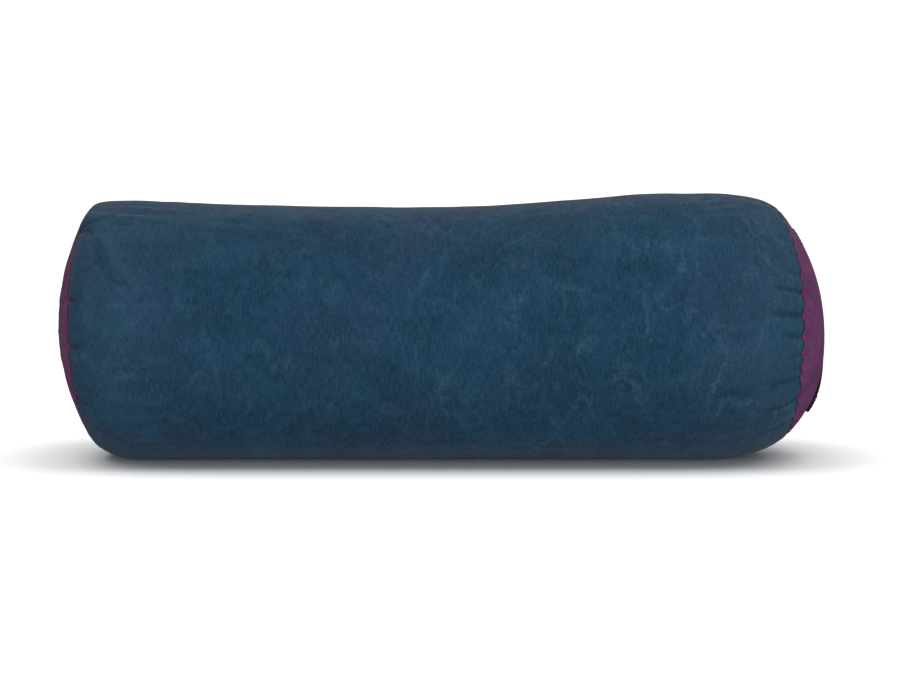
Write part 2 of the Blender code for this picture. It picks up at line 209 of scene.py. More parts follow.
# Each kind of stitch: its length, the gap to the next, and the thread's radius
SEAM_STITCH = (2.6 * MM, 0.7 * MM, 0.22 * MM)
CASE_STITCH = (2.6 * MM, 0.6 * MM, 0.2 * MM)
CLOSING_STITCH = (2.2 * MM, 1.2 * MM, 0.2 * MM)
TOPSTITCH = (2.9 * MM, 0.6 * MM, 0.28 * MM)
BOX_STITCH = (2.4 * MM, 0.5 * MM, 0.25 * MM)
BOX_INSET = 1.8 * MM
THREAD_SIDES = 6

# The zip and the label
COIL_PITCH = 1.6 * MM
COIL_SPOTS = 12
COIL_WIRE = 0.34 * MM
COIL_DEPTH = 0.55 * MM
TAPE_HALF = 0.25 * MM
SLOT_TURN = 3.0 * MM
LABEL_DEPTH = 3.4 * MM
LABEL_HALF = 0.08 * MM


# ---------------------------------------------------------------- numbers and curves


def smooth_line(x, points):
    """A smooth curve through the points, read at x, with no bump between them."""
    px, py = (np.array(column) for column in zip(*points))
    run = np.diff(py) / np.diff(px)
    same_way = run[:-1] * run[1:] > 0
    total = np.where(same_way, run[:-1] + run[1:], 1.0)
    inner = np.where(same_way, 2 * run[:-1] * run[1:] / total, 0.0)
    slope = np.concatenate([run[:1], inner, run[-1:]])
    i = np.clip(np.searchsorted(px, x) - 1, 0, len(px) - 2)
    h = px[i + 1] - px[i]
    t = np.clip((x - px[i]) / h, 0, 1)
    a = (1 + 2 * t) * (1 - t) ** 2 * py[i] + t * (1 - t) ** 2 * h * slope[i]
    b = t * t * (3 - 2 * t) * py[i + 1] + t * t * (t - 1) * h * slope[i + 1]
    return a + b


def smooth_step(t):
    t = np.clip(t, 0, 1)
    return t * t * (3 - 2 * t)


def bell(x, width):
    return np.exp(-((x / width) ** 2))


def unit(vectors):
    return vectors / np.maximum(np.linalg.norm(vectors, axis=-1, keepdims=True), 1e-12)


def noise_at(points, size, seed):
    """Smooth noise from about -1 to 1, with features of that size, at each point of an array."""
    flat = points.reshape(-1, 3) / size + seed * 17.3
    values = [noise.noise(Vector(p)) for p in flat.tolist()]
    return np.array(values).reshape(points.shape[:-1])


# ---------------------------------------------------------------- the cover's shape


def column_angles():
    """Even columns, nudged so that one lies on each edge of the zip's slot."""
    even = np.arange(COLUMNS) * TAU / COLUMNS
    edge = SLOT_HALF / RADIUS
    near = SLOT_COLUMNS
    known = (0, near, 3 * near, COLUMNS - 3 * near, COLUMNS - near, COLUMNS)
    want = (0, edge, even[3 * near], TAU - even[3 * near], TAU - edge, TAU)
    return np.interp(np.arange(COLUMNS), known, want)


def body_stations():
    """Rings along X, close together near the seams, with one on each end of the zip's slot."""
    left = np.arange(LEFT.seam_x, LEFT.seam_x + FINE_ZONE, FINE_STEP)
    right = np.arange(RIGHT.seam_x, RIGHT.seam_x - FINE_ZONE, -FINE_STEP)[::-1]
    count = round((right[0] - left[-1]) / COARSE_STEP)
    middle = np.linspace(left[-1], right[0], count + 1)[1:-1]
    x = np.concatenate([left, middle, right])
    for end in (-SLOT_END, SLOT_END):
        x[np.argmin(abs(x - end))] = end
    return x


SLOT_COLUMNS = round(SLOT_HALF / RADIUS / TAU * COLUMNS)
THETA = column_angles()
STATIONS = body_stations()


def axis_height(x):
    """Where the body is widest. It rises to the middle of each seam."""
    lift = np.zeros_like(x)
    for end in (LEFT, RIGHT):
        share = smooth_step(1 - end.inward(x) / AXIS_RISE_ZONE)
        top = smooth_line(np.array([end.seam_x]), TOP_LINE)[0]
        bottom = smooth_line(np.array([end.seam_x]), BOTTOM_LINE)[0]
        lift += share * ((top + bottom) / 2 - AXIS)
    return AXIS + lift


def half_width(x):
    width = np.full_like(x, RADIUS)
    for end in (LEFT, RIGHT):
        t = np.clip(1 - end.inward(x) / end.shoulder, 0, 1)
        width -= end.narrowing * t**2
    return width


def seam_lean(x, theta):
    """How far each point of a ring shifts along X, so that the last rings lean as the seams do."""
    shift = np.zeros(np.broadcast(x, theta).shape)
    sine = np.sin(theta)
    for end in (LEFT, RIGHT):
        near = smooth_step(1 - end.inward(x) / FINE_ZONE)
        reach = end.lean[0] * np.maximum(sine, 0) ** 4 + end.lean[1] * np.minimum(sine, 0) ** 2
        shift -= end.side * reach * near
    return shift


def body_surface(x, theta):
    """Points of the body's smooth shape, before folds, for rings x and columns theta."""
    x, theta = np.broadcast_arrays(x[:, None], theta[None, :])
    x = x + seam_lean(x, theta)
    middle = axis_height(x)
    up = smooth_line(x, TOP_LINE) - middle
    down = middle - smooth_line(x, BOTTOM_LINE)
    sine = np.sin(theta)
    z = middle + np.where(sine > 0, up, down) * sine
    z = (z + np.sqrt(z * z + 4 * FLOOR_SOFTNESS**2)) / 2
    return np.stack([x, half_width(x) * np.cos(theta), z], axis=-1)


def dome_surface(end, shares, theta):
    """Points of an end panel. Share 1 is the seam, and 0 the tip of the dome."""
    rim = body_surface(np.array([end.seam_x]), theta)[0]
    tip = np.array([end.seam_x + end.side * end.crown, 0, DOME_MIDDLE[end.name] - end.apex_drop])
    u = shares[:, None, None]
    dome = tip * (1 - u) + rim[None] * u
    power = end.fullness - end.sag_fullness * np.sin(theta)
    dome[..., 0] = tip[0] + (rim[:, 0] - tip[0]) * u[..., 0] ** power
    return dome


DOME_MIDDLE = {end.name: float(axis_height(np.array([end.seam_x]))[0]) for end in (LEFT, RIGHT)}


def sideways(rings):
    """Unit vectors straight out from the body's long axis, for rings of points."""
    out = rings - rings.mean(axis=-2, keepdims=True)
    out[..., 0] = 0
    return unit(out)


# ---------------------------------------------------------------- the gathered ends, simulated


def sim_rows(end):
    """The body's rings that the simulation of one end works on, from its still edge to the seam."""
    rows = np.flatnonzero(abs(STATIONS - end.seam_x) < SIM_REACH)
    return rows if end.side > 0 else rows[::-1]


def lengths_along(points):
    """Distance from the first ring, down each column."""
    steps = np.linalg.norm(np.diff(points, axis=0), axis=2)
    return np.concatenate([np.zeros((1, points.shape[1])), np.cumsum(steps, axis=0)])


def gather_valleys(end):
    """The valleys of the gathers round a seam: (angle, depth from 0 to 1, reach), in order of angle."""
    rng = random.Random(f"{end.name} gathers")
    step = TAU / end.gathers
    deep = sorted((math.pi - math.radians(degrees)) % TAU for degrees in end.deep_gathers)
    valleys = [(angle, 1.0, rng.uniform(0.9, 1.4)) for angle in deep]
    for a, b in zip(deep, deep[1:] + [deep[0] + TAU]):
        between = round((b - a) / step) - 1
        for k in range(1, between + 1):
            angle = a + (b - a) * (k + rng.uniform(-0.25, 0.25)) / (between + 1)
            valleys.append((angle % TAU, rng.uniform(*end.shallow), rng.uniform(0.5, 1.2)))
    return sorted(valleys)


def gather_wave(end):
    """Uneven gathers round the seam, from -1 in a valley to 1 on a ridge, and how far each reaches."""
    valleys = gather_valleys(end)
    wrapped = [(valleys[-1][0] - TAU, *valleys[-1][1:]), *valleys, (valleys[0][0] + TAU, *valleys[0][1:])]
    angles, depths, reaches = (np.array(column) for column in zip(*wrapped))
    phase = np.interp(THETA, angles, np.arange(len(angles))) * TAU
    return -np.cos(phase) * np.interp(THETA, angles, depths), np.interp(THETA, angles, reaches)


def start_shape(end, rings, seam_row, lengths):
    """The smooth shape with shallow gathers at the seam, for the cloth to start from."""
    wave, reach = (values[None, :] for values in gather_wave(end))
    from_seam = abs(lengths - lengths[seam_row][None, :])
    on_body = np.arange(len(rings))[:, None] < seam_row
    body_fade = np.exp(-from_seam / (end.gather_reach * reach))
    fade = np.where(on_body, body_fade, 0.6 * np.exp(-from_seam / DOME_GATHER_REACH))
    fade = fade * from_seam / (from_seam + 2 * MM)
    moved = rings + sideways(rings) * (wave * fade * GATHER_START)[..., None]
    moved[..., 0] += end.side * wave * np.exp(-from_seam / (8 * MM)) * end.scallop
    return moved


def cut_shape(end, rings, seam_row, lengths):
    """The cloth as it was cut, as rings: fuller than the seam it is gathered into."""
    closed = np.concatenate([rings, rings[:, :1]], axis=1)
    around = np.linalg.norm(np.diff(closed, axis=1), axis=2)
    turned = np.cumsum(around, axis=1) - around
    angle = TAU * turned / around.sum(axis=1, keepdims=True)
    length = lengths.mean(axis=1)
    from_seam = abs(length - length[seam_row])
    ease = end.body_ease * np.exp(-from_seam / end.gather_reach)
    panel_ease = end.panel_ease * np.exp(-from_seam / DOME_GATHER_REACH)
    ease[seam_row:] = panel_ease[seam_row:]
    reach = around.sum(axis=1) / TAU * (1 + ease)
    forward = np.sqrt(np.maximum(np.diff(length) ** 2 - np.diff(reach) ** 2, 1e-10))
    along = np.concatenate([[0], np.cumsum(forward)])
    x = np.broadcast_to(along[:, None], angle.shape)
    return np.stack([x, reach[:, None] * np.cos(angle), reach[:, None] * np.sin(angle)], axis=-1)


def smoothed_round(values, reach):
    """Values averaged round each ring, over about that reach."""
    columns = values.shape[1]
    rate = np.fft.rfftfreq(columns, TAU * RADIUS / columns)
    keep = np.exp(-2 * (np.pi * rate * reach) ** 2)
    return np.fft.irfft(np.fft.rfft(values, axis=1) * keep[None, :, None], columns, axis=1)


def ring_faces(rows, columns, flip=False, skip=(), closed=True):
    """Quads between neighbouring rings. Closed: the last column joins the first."""
    faces = []
    for i in range(rows - 1):
        for j in range(columns if closed else columns - 1):
            if (i, j) in skip:
                continue
            k = (j + 1) % columns
            quad = (i * columns + j, i * columns + k, (i + 1) * columns + k, (i + 1) * columns + j)
            faces.append(quad[::-1] if flip else quad)
    return faces


def settle(name, start, cut, faces, held):
    """Lets the cloth take up its cut size under the filling's pressure, and returns its points."""
    scene = bpy.context.scene
    mesh = bpy.data.meshes.new(name)
    mesh.from_pydata(start.tolist(), [], faces)
    ob = bpy.data.objects.new(name, mesh)
    scene.collection.objects.link(ob)
    ob.shape_key_add(name="Basis")
    key = ob.shape_key_add(name="cut")
    key.data.foreach_set("co", cut.astype(np.float32).ravel())
    key.value = 0.0
    group = ob.vertex_groups.new(name="held")
    for i in np.flatnonzero(held > 0):
        group.add([int(i)], float(held[i]), "REPLACE")
    cloth = ob.modifiers.new("cloth", "CLOTH")
    for setting, value in CLOTH_SETTINGS.items():
        setattr(cloth.settings, setting, value)
    cloth.settings.effector_weights.gravity = 0
    cloth.settings.rest_shape_key = key
    cloth.point_cache.frame_start = 1
    cloth.point_cache.frame_end = CLOTH_FRAMES
    for step in range(1, CLOTH_FRAMES + 1):
        scene.frame_set(step)
    shown = ob.evaluated_get(bpy.context.evaluated_depsgraph_get())
    found = np.empty(len(mesh.vertices) * 3, np.float32)
    shown.data.vertices.foreach_get("co", found)
    bpy.data.objects.remove(ob, do_unlink=True)
    scene.frame_set(1)
    return found.reshape(-1, 3).astype(float)


def gathered_end(end, body):
    """One end of the cover, gathered by cloth simulation: its body rings, dome rings and tip."""
    rows = sim_rows(end)
    seam_row = len(rows) - 1
    rings = np.concatenate([body[rows], dome_surface(end, DOME_SHARES, THETA)[1:]])
    tip = dome_surface(end, np.array([0.0]), THETA)
    lengths = lengths_along(np.concatenate([rings, tip]))
    start = start_shape(end, rings, seam_row, lengths[:-1])
    settled = start
    cut = cut_shape(end, rings, seam_row, lengths[:-1])
    from_edge = lengths / lengths[seam_row]
    from_tip = (lengths[-1] - lengths) / (lengths[-1] - lengths[seam_row])
    held = np.maximum(smooth_step(1 - from_edge / 0.25), smooth_step(1.6 - from_tip / 0.25))[:-1]
    faces = ring_faces(len(rings), COLUMNS, end.side > 0)
    moved = settle(f"cloth_{end.name}", start.reshape(-1, 3), cut.reshape(-1, 3), faces, held.ravel())
    settled = moved.reshape(rings.shape)
    shift = settled - rings
    shift -= smoothed_round(shift, BLEND_ROUND)
    size = np.linalg.norm(shift, axis=2, keepdims=True)
    settled = rings + shift * np.minimum(1, MOST_SHIFT / np.maximum(size, 1e-9))
    settled[..., 2] = np.maximum(settled[..., 2], 0)
    return settled[: seam_row + 1], settled[seam_row:], tip[0, 0]


# ---------------------------------------------------------------- folds shaped one by one

# Each fold follows a path of (X, degrees above the front) and has a width and a height.
FOLDS = (
    (((-0.296, 65), (-0.245, 61), (-0.205, 58), (-0.170, 56), (-0.120, 55)), 5 * MM, 1.1 * MM),
    (((-0.303, 68), (-0.293, 65), (-0.284, 63)), 6 * MM, 2.4 * MM),
    (((-0.302, 59), (-0.294, 54), (-0.284, 50)), 3.5 * MM, -2.4 * MM),
    (((-0.297, 58), (-0.287, 49), (-0.278, 38), (-0.268, 27), (-0.254, 22)), 5.5 * MM, -1.6 * MM),
    (((-0.292, 54), (-0.276, 45), (-0.264, 33), (-0.252, 27)), 6 * MM, 1.5 * MM),
    (((-0.286, 30), (-0.288, 14), (-0.287, -4)), 5 * MM, 1.0 * MM),
    (((-0.144, 64), (-0.146, 35), (-0.142, 2)), 9 * MM, -0.8 * MM),
    (((-0.092, 26), (-0.094, 8), (-0.090, -12)), 9 * MM, -0.7 * MM),
    (((0.248, 76), (0.272, 70), (0.294, 60)), 5 * MM, 0.9 * MM),
    (((0.262, 84), (0.280, 79), (0.294, 72)), 5 * MM, 0.8 * MM),
)


def fold_profile(body, path, width):
    """1 along the path, fading away across its width and towards its two ends."""
    knots = np.array([(x, math.radians(degrees) * RADIUS) for x, degrees in path])
    here = np.stack([body[..., 0], (math.pi - THETA)[None, :] * RADIUS + 0 * body[..., 0]], axis=-1)
    steps = np.diff(knots, axis=0)
    ends = np.concatenate([[0], np.cumsum(np.linalg.norm(steps, axis=1))])
    best = np.full(here.shape[:-1], 1e9)
    share = np.zeros(here.shape[:-1])
    for start, step, before in zip(knots[:-1], steps, ends[:-1]):
        size = np.linalg.norm(step)
        t = np.clip(((here - start) @ step) / size**2, 0, 1)
        away = np.linalg.norm(here - start - t[..., None] * step, axis=-1)
        closer = away < best
        best = np.where(closer, away, best)
        share = np.where(closer, (before + t * size) / ends[-1], share)
    return bell(best, width) * np.sin(np.pi * np.clip(share * 0.86 + 0.07, 0, 1)) ** 0.7


def room_for_folds(body, zip_reach, floor_fade):
    """1 where folds may lie, fading to 0 round the zip and just over the floor."""
    back = 1 - bell(np.minimum(THETA, TAU - THETA) * RADIUS, zip_reach)
    return back[None, :] * smooth_step((body[..., 2] - FLOOR_MARGIN) / floor_fade)


def add_tucks(body, end):
    """Sharp little valleys where the gathers run into the seam, each with its own length and slant."""
    rng = random.Random(f"{end.name} tucks")
    valley = np.zeros(body.shape[:-1])
    for angle, depth, reach in gather_valleys(end):
        degrees = 180 - math.degrees(angle)
        inner = end.seam_x - end.side * reach * TUCK_LENGTH
        slant = rng.uniform(-5, 5)
        path = ((end.seam_x + end.side * 12 * MM, degrees), (inner, degrees + slant))
        valley = np.maximum(valley, depth * fold_profile(body, path, TUCK_WIDTH))
    valley *= room_for_folds(body, 20 * MM, 20 * MM)
    moved = body - sideways(body) * (valley * TUCK_DEPTH)[..., None]
    moved[..., 0] -= end.side * end.notch * valley * np.exp(-abs(STATIONS - end.seam_x) / (7 * MM))[:, None]
    return moved


def add_folds(body):
    """Soft folds and slight unevenness of a used cushion, kept off the zip and the floor."""
    height = np.zeros(body.shape[:-1])
    for path, width, rise in FOLDS:
        height += rise * fold_profile(body, path, width)
    height += 0.7 * MM * noise_at(body * np.array([1.0, 0.7, 0.7]), 70 * MM, 1)
    height += 0.35 * MM * noise_at(body, 24 * MM, 2)
    body = body + sideways(body) * (height * room_for_folds(body, 30 * MM, 30 * MM))[..., None]
    for end in (LEFT, RIGHT):
        body = add_tucks(body, end)
    return body


# ---------------------------------------------------------------- meshes


def add_mesh(name, points, faces, material, uv=None, **attributes):
    """A smooth-shaded mesh object. uv gives one (u, v) for each face corner, in face order."""
    mesh = bpy.data.meshes.new(name)
    mesh.from_pydata(np.asarray(points, float).reshape(-1, 3).tolist(), [], faces)
    if uv is not None:
        layer = mesh.uv_layers.new(name="cloth")
        layer.data.foreach_set("uv", np.asarray(uv, np.float32).ravel())
    for key, values in attributes.items():
        layer = mesh.attributes.new(key, "FLOAT", "POINT")
        layer.data.foreach_set("value", np.asarray(values, np.float32).ravel())
    mesh.shade_smooth()
    mesh.materials.append(material)
    ob = bpy.data.objects.new(name, mesh)
    bpy.context.scene.collection.objects.link(ob)
    return ob


def piece(name, slot, node, points, faces, uv=None, stuffed=None, subdivide=0, **attributes):
    """One finished piece: its mesh, the material of its slot, and the CAD node it stands for."""
    ob = add_mesh(name, points, faces, MATERIALS[slot], uv, **attributes)
    if subdivide:
        smooth = ob.modifiers.new("smooth", "SUBSURF")
        smooth.levels = subdivide
        smooth.render_levels = subdivide
    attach(ob, "bolster")
    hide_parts(node)


def grid_uv(faces, u, v):
    """(u, v) of each face corner. A face across the last column reads on past it."""
    columns = len(v) - 1
    corners = []
    for face in faces:
        held = [i % columns for i in face]
        wraps = max(held) - min(held) > columns / 2
        for i, column in zip(face, held):
            corners.append((u[i // columns], v[columns if wraps and column == 0 else column]))
    return corners


def fan(first, tip, flip):
    """Triangles from one ring of the cover, that starts at the point first, to its tip."""
    faces = [(first + j, first + (j + 1) % COLUMNS, tip) for j in range(COLUMNS)]
    return [face[::-1] for face in faces] if flip else faces


def dome_mesh(end, rings, tip):
    """Points, faces and uv of a panel of rings, closed at its tip."""
    flip = end.side > 0
    points = np.concatenate([rings.reshape(-1, 3), tip[None]])
    tip_index = len(points) - 1
    faces = ring_faces(len(rings), COLUMNS, flip) + fan(tip_index - COLUMNS, tip_index, flip)
    return points, faces, [(points[i][1], points[i][2]) for face in faces for i in face]


def seam_roll(seam, beside, side):
    """Rings that take the cloth from its turned-in allowance, over the roll, to the ring beside the seam."""
    out = sideways(seam)
    across = beside - seam
    roll = seam + unit(across) * SEAM_ROLL + out * 0.15 * MM
    line = seam - out * SEAM_DEPTH
    allowance = line - out * SEAM_ALLOWANCE + np.array([side, 0, 0]) * 0.5 * MM
    return np.stack([allowance, line, roll])


def relief(rings, smooth):
    """How far each point stands above (+) or below (-) the smooth shape, in tenths of a millimetre."""
    return ((rings - smooth) * sideways(smooth)).sum(axis=-1) / (0.1 * MM)


def strap_rise(z):
    return smooth_line(z - STRAP_LOW.z, [(height, lift * MM) for height, lift in STRAP_RISE])


def strap_dent(dome):
    """How far the strap presses the right end panel in, at each of its points."""
    z = dome[..., 2]
    low, high = STRAP_LOW.z, STRAP_HIGH.z
    folded = (z < low + STRAP_TURN) | (z > high - STRAP_TURN)
    depth = np.maximum(0.3 * MM + np.where(folded, STRAP_LAYERS, 0) - strap_rise(z), 0)
    beside = smooth_step((STRAP_HIGH.y + DENT_EDGE - abs(dome[..., 1])) / DENT_EDGE)
    beyond = smooth_step(1 - (z - high) / DENT_EDGE) * smooth_step(1 - (low - z) / DENT_EDGE)
    return depth * beside * beyond


def cover():
    """The three canvas panels. Returns the seams' rings."""
    smooth = body_surface(STATIONS, THETA)
    body = smooth.copy()
    domes = {}
    for end in (LEFT, RIGHT):
        rings, dome, tip = gathered_end(end, body)
        body[sim_rows(end)] = rings
        domes[end] = (dome, tip)
    body = add_folds(body)
    # The relief, carried to the canvas: raised ridges are drawn paler as worn, and valleys darker as painted
    # shade.
    wear = relief(body, smooth)
    seams = {LEFT: body[0], RIGHT: body[-1]}
    left_roll = seam_roll(body[0], body[1], 1)
    right_roll = seam_roll(body[-1], body[-2], -1)[::-1]
    rings = np.concatenate([left_roll, body[1:-1], right_roll])
    wear = np.concatenate([[wear[0]] * 3, wear[1:-1], [wear[-1]] * 3])

    first, last = (int(np.argmin(abs(STATIONS - x))) + 2 for x in (-SLOT_END, SLOT_END))
    in_slot = [j % COLUMNS for j in range(-SLOT_COLUMNS, SLOT_COLUMNS)]
    skip = {(i, j) for i in range(first, last) for j in in_slot}
    faces = ring_faces(len(rings), COLUMNS, skip=skip)
    along = np.concatenate([[STATIONS[0]] * 3, STATIONS[1:-1], [STATIONS[-1]] * 3])
    uv = grid_uv(faces, along, np.append(THETA, TAU) * RADIUS)
    points, faces, uv = turn_in_slot(rings, faces, uv, first, last)
    wear = np.concatenate([wear.ravel(), np.zeros(len(points) - wear.size)])
    piece("canvas_body", "cover_blue", "cover_body_panel", points, faces, uv, STUFFED, 1, wear=wear)

    for end, (dome, tip) in domes.items():
        dome[0] = seams[end]
        if end is RIGHT:
            dome[..., 0] -= strap_dent(dome)
            tip[0] -= strap_dent(tip)
        # The end panel's relief, for paler worn ridges and painted shade in the valleys.
        wear = relief(dome, dome_surface(end, DOME_SHARES, THETA))
        wear = np.append(np.concatenate([[wear[0]] * 3, wear[1:]]), 0.0)
        rings = np.concatenate([seam_roll(dome[0], dome[1], end.side), dome[1:]])
        names = f"canvas_end_{end.name}", "cover_purple", f"cover_end_panel_{end.name}"
        piece(*names, *dome_mesh(end, rings, tip), STUFFED, 1, wear=wear)
    return seams


def turn_in_slot(rings, faces, uv, first, last):
    """Adds the turned-in edge of the canvas round the zip's slot."""
    upper = [i * COLUMNS + SLOT_COLUMNS for i in range(first, last + 1)]
    lower = [i * COLUMNS + COLUMNS - SLOT_COLUMNS for i in range(last, first - 1, -1)]
    right = [last * COLUMNS + j % COLUMNS for j in range(SLOT_COLUMNS - 1, -SLOT_COLUMNS, -1)]
    left = [first * COLUMNS + j % COLUMNS for j in range(1 - SLOT_COLUMNS, SLOT_COLUMNS)]
    loop = upper + right + lower + left
    points = rings.reshape(-1, 3)
    edge = points[loop]
    out = edge - np.array([0, 0, AXIS])
    out[:, 0] = np.where(abs(edge[:, 0]) > SLOT_END - MM / 2, np.sign(edge[:, 0]) * SLOT_HALF, 0)
    out[:, 1] = 0
    out = unit(out)
    inward = np.array([0, -1, 0])
    fold = edge - out * 0.25 * MM + inward * 0.5 * MM
    under = edge + out * SLOT_TURN + inward * 1.0 * MM
    base = len(points)
    count = len(loop)
    folded = range(base, base + count)
    turned = range(base + count, base + 2 * count)
    for ring, (before, after) in enumerate(((loop, folded), (folded, turned))):
        for k in range(count):
            n = (k + 1) % count
            faces.append((before[k], after[k], after[n], before[n]))
            for a, depth in ((k, ring), (k, ring + 1), (n, ring + 1), (n, ring)):
                uv.append((edge[a][0], edge[a][2] - AXIS + depth * 1.5 * MM))
    return np.concatenate([points, fold, under]), faces, uv


class Threads:
    """Points and faces of many round threads, gathered into one mesh."""

    def __init__(self):
        self.points = []
        self.faces = []

    def tube(self, path, radii):
        """A thread along a path, with a radius for each of its points."""
        radii = np.broadcast_to(radii, len(path))
        along = unit(np.gradient(path, axis=0))
        hint = np.array([0.31, 0.17, 0.93]) if abs(along[:, 2]).mean() < 0.8 else np.array([1.0, 0.2, 0.1])
        a = unit(np.cross(along, hint))
        b = np.cross(along, a)
        turn = np.arange(THREAD_SIDES) * TAU / THREAD_SIDES
        ring = a[:, None] * np.cos(turn)[None, :, None] + b[:, None] * np.sin(turn)[None, :, None]
        base = len(self.points)
        self.points.extend((path[:, None] + ring * radii[:, None, None]).reshape(-1, 3).tolist())
        faces = ring_faces(len(path), THREAD_SIDES)
        faces.append(range(THREAD_SIDES)[::-1])
        faces.append(range((len(path) - 1) * THREAD_SIDES, len(path) * THREAD_SIDES))
        self.faces += [tuple(base + i for i in face) for face in faces]

    def stitches(self, path, out, length, gap, radius, closed):
        """A row of stitches along a path. out points away from the cloth at each of its points."""
        path = np.asarray(path, float)
        out = np.broadcast_to(np.asarray(out, float), path.shape)
        if closed:
            path = np.concatenate([path, path[:1]])
            out = np.concatenate([out, out[:1]])
        along = np.concatenate([[0], np.cumsum(np.linalg.norm(np.diff(path, axis=0), axis=1))])
        count = max(1, round((along[-1] + gap) / (length + gap)))
        pitch = (along[-1] + (0 if closed else gap)) / count
        for k in range(count):
            spots = k * pitch + (pitch - gap) * np.linspace(0, 1, 6)
            middle, up = (
                np.stack([np.interp(spots, along, line[:, c]) for c in range(3)], axis=1)
                for line in (path, out)
            )
            lift = radius * np.array([-1.2, 0.35, 0.6, 0.6, 0.35, -1.2])
            size = radius * np.array([0.55, 0.95, 1.0, 1.0, 0.95, 0.55])
            self.tube(middle + unit(up) * lift[:, None], size)


def sewn(name, slot, node, kind, *rows, closed=False):
    """A piece of stitches of one kind. Each row is a path and the way out of the cloth."""
    threads = Threads()
    for path, out in rows:
        threads.stitches(path, out, *kind, closed)
    piece(name, slot, node, threads.points, threads.faces)


def straight_row(x, y, z):
    """Points at each x of one line along the body."""
    return np.stack(np.broadcast_arrays(x, y, z), axis=1)


def sheet_points(x, y, z):
    """A grid of points, with x down its rows and z across its columns."""
    return np.stack(np.broadcast_arrays(x[:, None], y, z[None, :]), axis=-1)


# ---------------------------------------------------------------- inside the cover


def inner_shell(depth, roughness, seed):
    """The smooth cover moved inwards, with a softer surface. Rows run from the left tip to the right."""
    left = dome_surface(LEFT, DOME_SHARES, THETA)[::-1]
    right = dome_surface(RIGHT, DOME_SHARES, THETA)
    rings = np.concatenate([left[:-1], body_surface(STATIONS, THETA), right[1:]])
    down = np.gradient(rings, axis=0)
    around = np.roll(rings, -1, axis=1) - np.roll(rings, 1, axis=1)
    out = unit(np.cross(around, down))
    inside = rings - out * depth
    inside += out * (roughness * noise_at(inside, 30 * MM, seed) - roughness / 2)[..., None]
    tips = []
    for end, ring in ((LEFT, inside[0]), (RIGHT, inside[-1])):
        tips.append(ring.mean(axis=0) + np.array([end.side * 0.3 * MM, 0, 0]))
    return inside, tips


def inner_case():
    """The cotton case round the filling, with its sewn seams."""
    rings, tips = inner_shell(CASE_DEPTH, 0.8 * MM, 5)
    first = len(DOME_SHARES) - 1
    last = first + len(STATIONS) - 1
    body = rings[first : last + 1]
    faces = ring_faces(len(body), COLUMNS)
    uv = grid_uv(faces, STATIONS, np.append(THETA, TAU) * RADIUS)
    piece("inner_case_body", "liner_cotton", "liner_body_panel", body, faces, uv, STUFFED)
    for end, dome, tip in ((LEFT, rings[first::-1], tips[0]), (RIGHT, rings[last:], tips[1])):
        names = f"inner_case_end_{end.name}", "liner_cotton", f"liner_end_panel_{end.name}"
        piece(*names, *dome_mesh(end, dome, tip), STUFFED)
        names = f"inner_case_stitches_{end.name}", "liner_thread", f"liner_seam_thread_{end.name}"
        sewn(*names, CASE_STITCH, (dome[0], sideways(dome[0])), closed=True)
    x = np.linspace(CLOSING_LOW.x, CLOSING_HIGH.x, 60)
    z = (CLOSING_LOW.z + CLOSING_HIGH.z) / 2
    angle = math.asin((z - AXIS) / (RADIUS - CASE_DEPTH))
    y = (RADIUS - CASE_DEPTH) * math.cos(angle) + 0.3 * MM
    names = "inner_case_closing_stitches", "liner_thread", "liner_closing_thread"
    sewn(*names, CLOSING_STITCH, (straight_row(x, y, z), BACKWARDS))


def filling():
    rings, tips = inner_shell(FILLING_DEPTH, 1.6 * MM, 9)
    count = len(rings) * COLUMNS
    faces = ring_faces(len(rings), COLUMNS)
    faces += fan(0, count, True) + fan(count - COLUMNS, count + 1, False)
    points = np.concatenate([rings.reshape(-1, 3), tips])
    piece("fibre_filling", "filling_fibre", "filling", points, faces, stuffed=LOOSELY_STUFFED)


# ---------------------------------------------------------------- seams, zip, strap and label


def seam_stitches(seams):
    for end, seam in seams.items():
        out = sideways(seam)
        names = f"seam_stitches_{end.name}", "thread_dark", f"end_seam_thread_{end.name}"
        sewn(*names, SEAM_STITCH, (seam - out * (SEAM_DEPTH - 0.1 * MM), out), closed=True)


def zip_pieces():
    """Woven tapes, nylon coils and the stitches that hold the tapes to the canvas."""
    turns = int((ROW_HIGH.x - ROW_LOW.x) / COIL_PITCH) - 1
    a = np.arange(turns * COIL_SPOTS) / COIL_SPOTS * TAU
    reach = (ROW_HIGH.z - AXIS + 0.35 * MM) / 2 - 0.35 * MM
    for name, side in (("upper", 1), ("lower", -1)):
        coil = Threads()
        x = ROW_LOW.x + COIL_PITCH * (0.5 + 0.25 * side) + COIL_PITCH * a / TAU
        z = AXIS + side * (reach + 0.02 * MM + reach * np.cos(a))
        y = CHAIN_Y + COIL_DEPTH * np.sin(a)
        coil.tube(straight_row(x, y, z), COIL_WIRE)
        piece(f"coil_{name}", "zip_coil", f"zip_teeth_{name}", coil.points, coil.faces)

        low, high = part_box(f"zip_tape_{name}")
        near, far = (low.z, high.z) if side > 0 else (high.z, low.z)
        x = np.linspace(low.x, high.x, 170)
        across = np.linspace(near, far, 9)
        y = (low.y + high.y) / 2 - 0.15 * MM * smooth_step(abs(across - near) / abs(far - near))
        y = y[None, :] + 0.06 * MM * np.sin(x / (9 * MM))[:, None]
        names = f"tape_{name}", "zip_tape", f"zip_tape_{name}"
        slab(*names, sheet_points(x, y, across), (0, TAPE_HALF, 0), x, across)

        low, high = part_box(f"zip_topstitching_{name}")
        x = np.linspace(low.x, high.x, 200)
        z = (low.z + high.z) / 2
        y = math.sqrt(RADIUS**2 - (z - AXIS) ** 2) + 0.15 * MM
        names = f"topstitches_{name}", "thread_dark", f"zip_topstitching_{name}"
        sewn(*names, TOPSTITCH, (straight_row(x, y, z), BACKWARDS))


